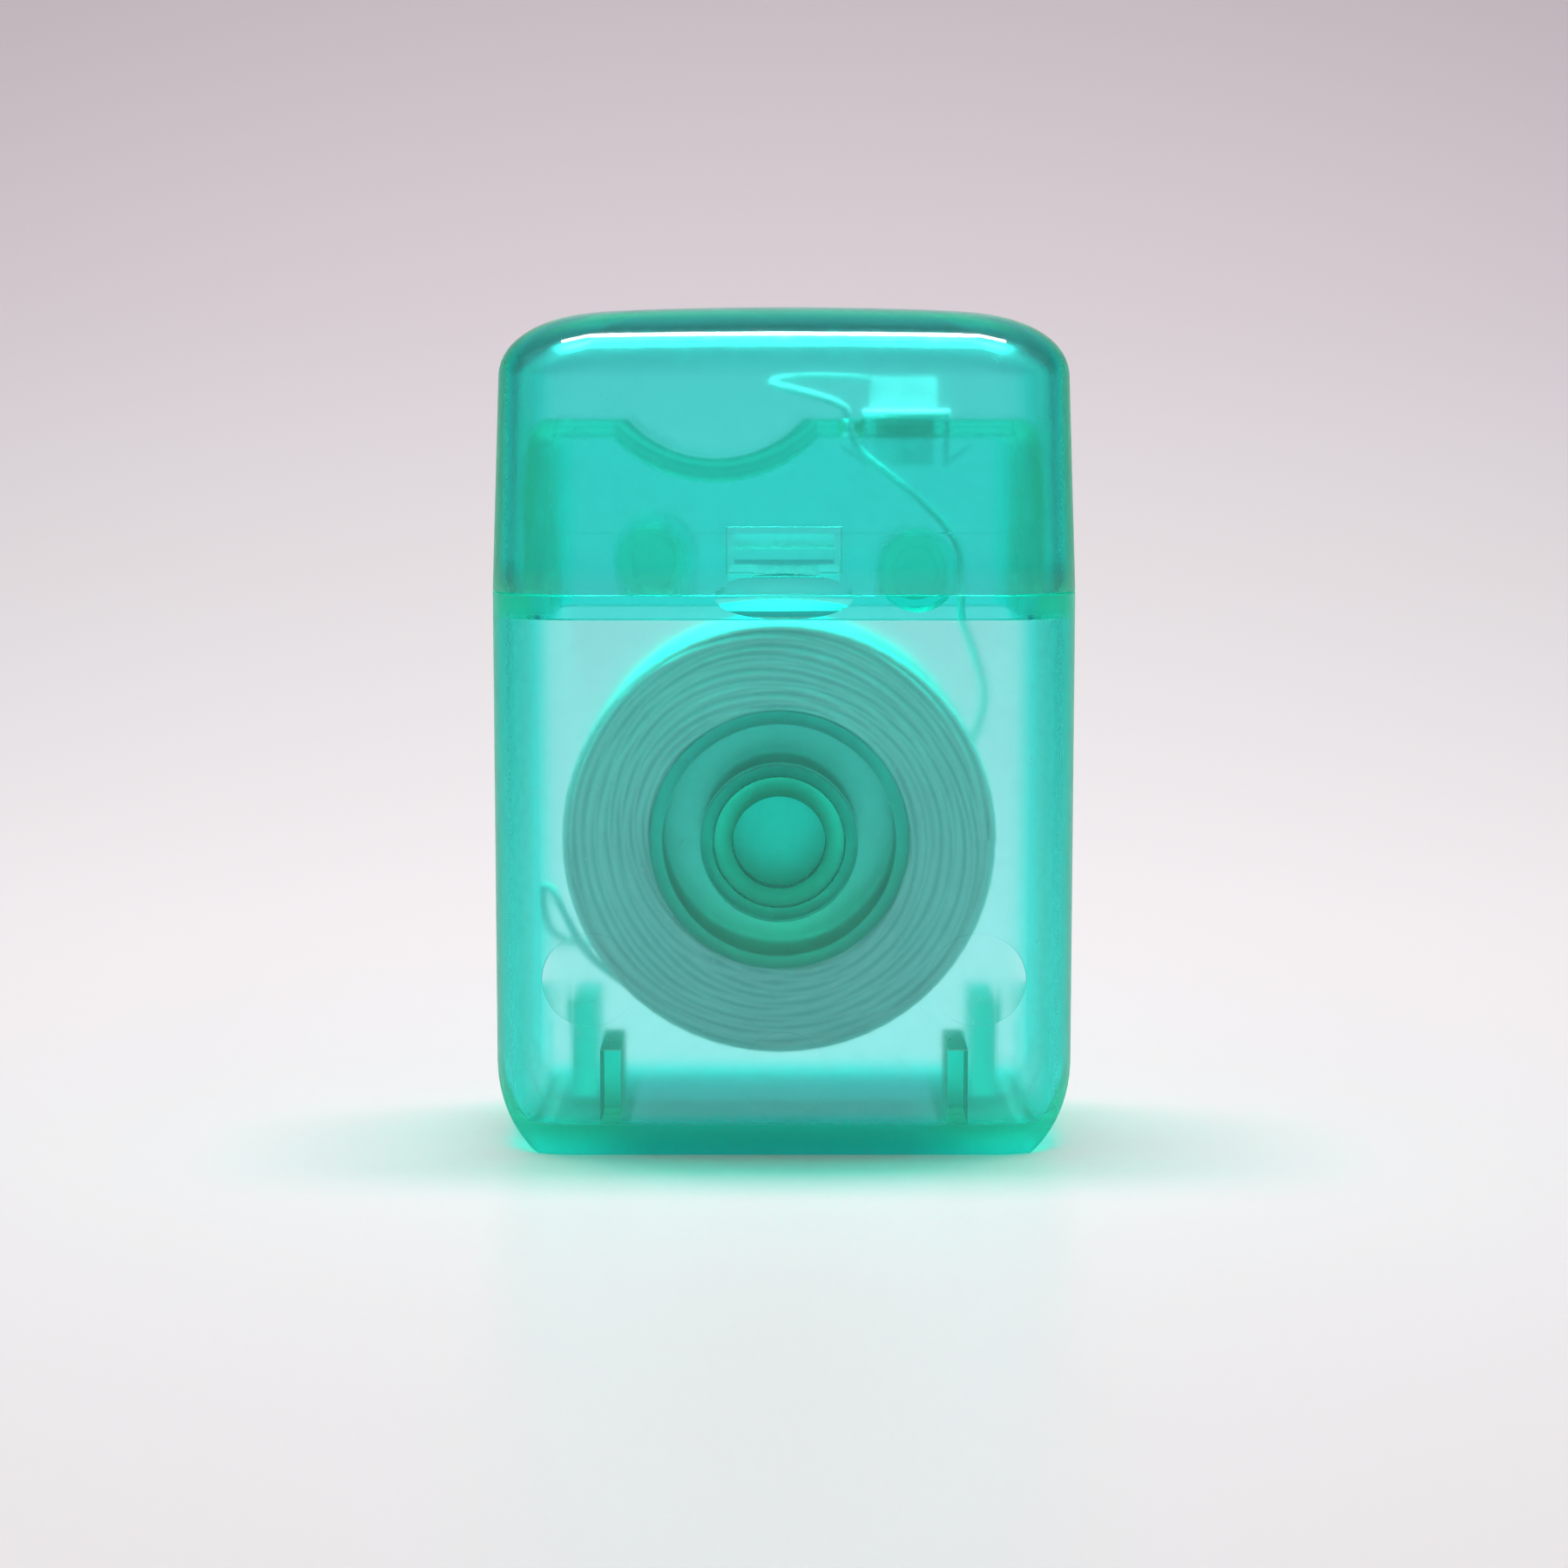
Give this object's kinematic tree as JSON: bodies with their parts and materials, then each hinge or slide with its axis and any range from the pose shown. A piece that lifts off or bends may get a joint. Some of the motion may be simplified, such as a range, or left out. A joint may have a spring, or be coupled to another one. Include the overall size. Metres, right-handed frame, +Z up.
{
  "type": "dental floss dispenser",
  "caption": "Pocket dental floss dispenser: a clear case of two shells with a hinged flip cap, a spool of floss that turns on a post, a floss outlet and a steel cutter.",
  "frame": {"origin": "middle of the flat base, midway between the front and rear faces", "axes": "+Z up from the base to the cap, the front face towards -Y, +X to the right seen from the front"},
  "size_m": [0.036, 0.018, 0.0519],
  "materials": {
    "clear_plastic": "clear, glossy, tinted turquoise",
    "steel": "bright rolled sheet",
    "floss": "waxed filaments, slightly glossy"
  },
  "bodies": {
    "case": {"front_shell": "clear_plastic", "rear_shell": "clear_plastic", "cutter": "steel", "floss_lead": "floss", "hinge_film": "clear_plastic"},
    "cap": {"flip_cap": "clear_plastic"},
    "spool": {"spool_core": "clear_plastic", "floss_pack": "floss", "floss_turns": "floss"}
  },
  "joints": [
    {"name": "cap_hinge", "type": "hinge", "parent": "case", "child": "cap", "pos_m": [0, 0.00925, 0.03445], "axis": [-1, 0, 0], "range_deg": [0, 170], "deforming": ["hinge_film"]},
    {"name": "spool_spin", "type": "hinge", "parent": "case", "child": "spool", "pos_m": [-0.0003, 0, 0.0192], "axis": [0, 1, 0], "continuous": true}
  ]
}
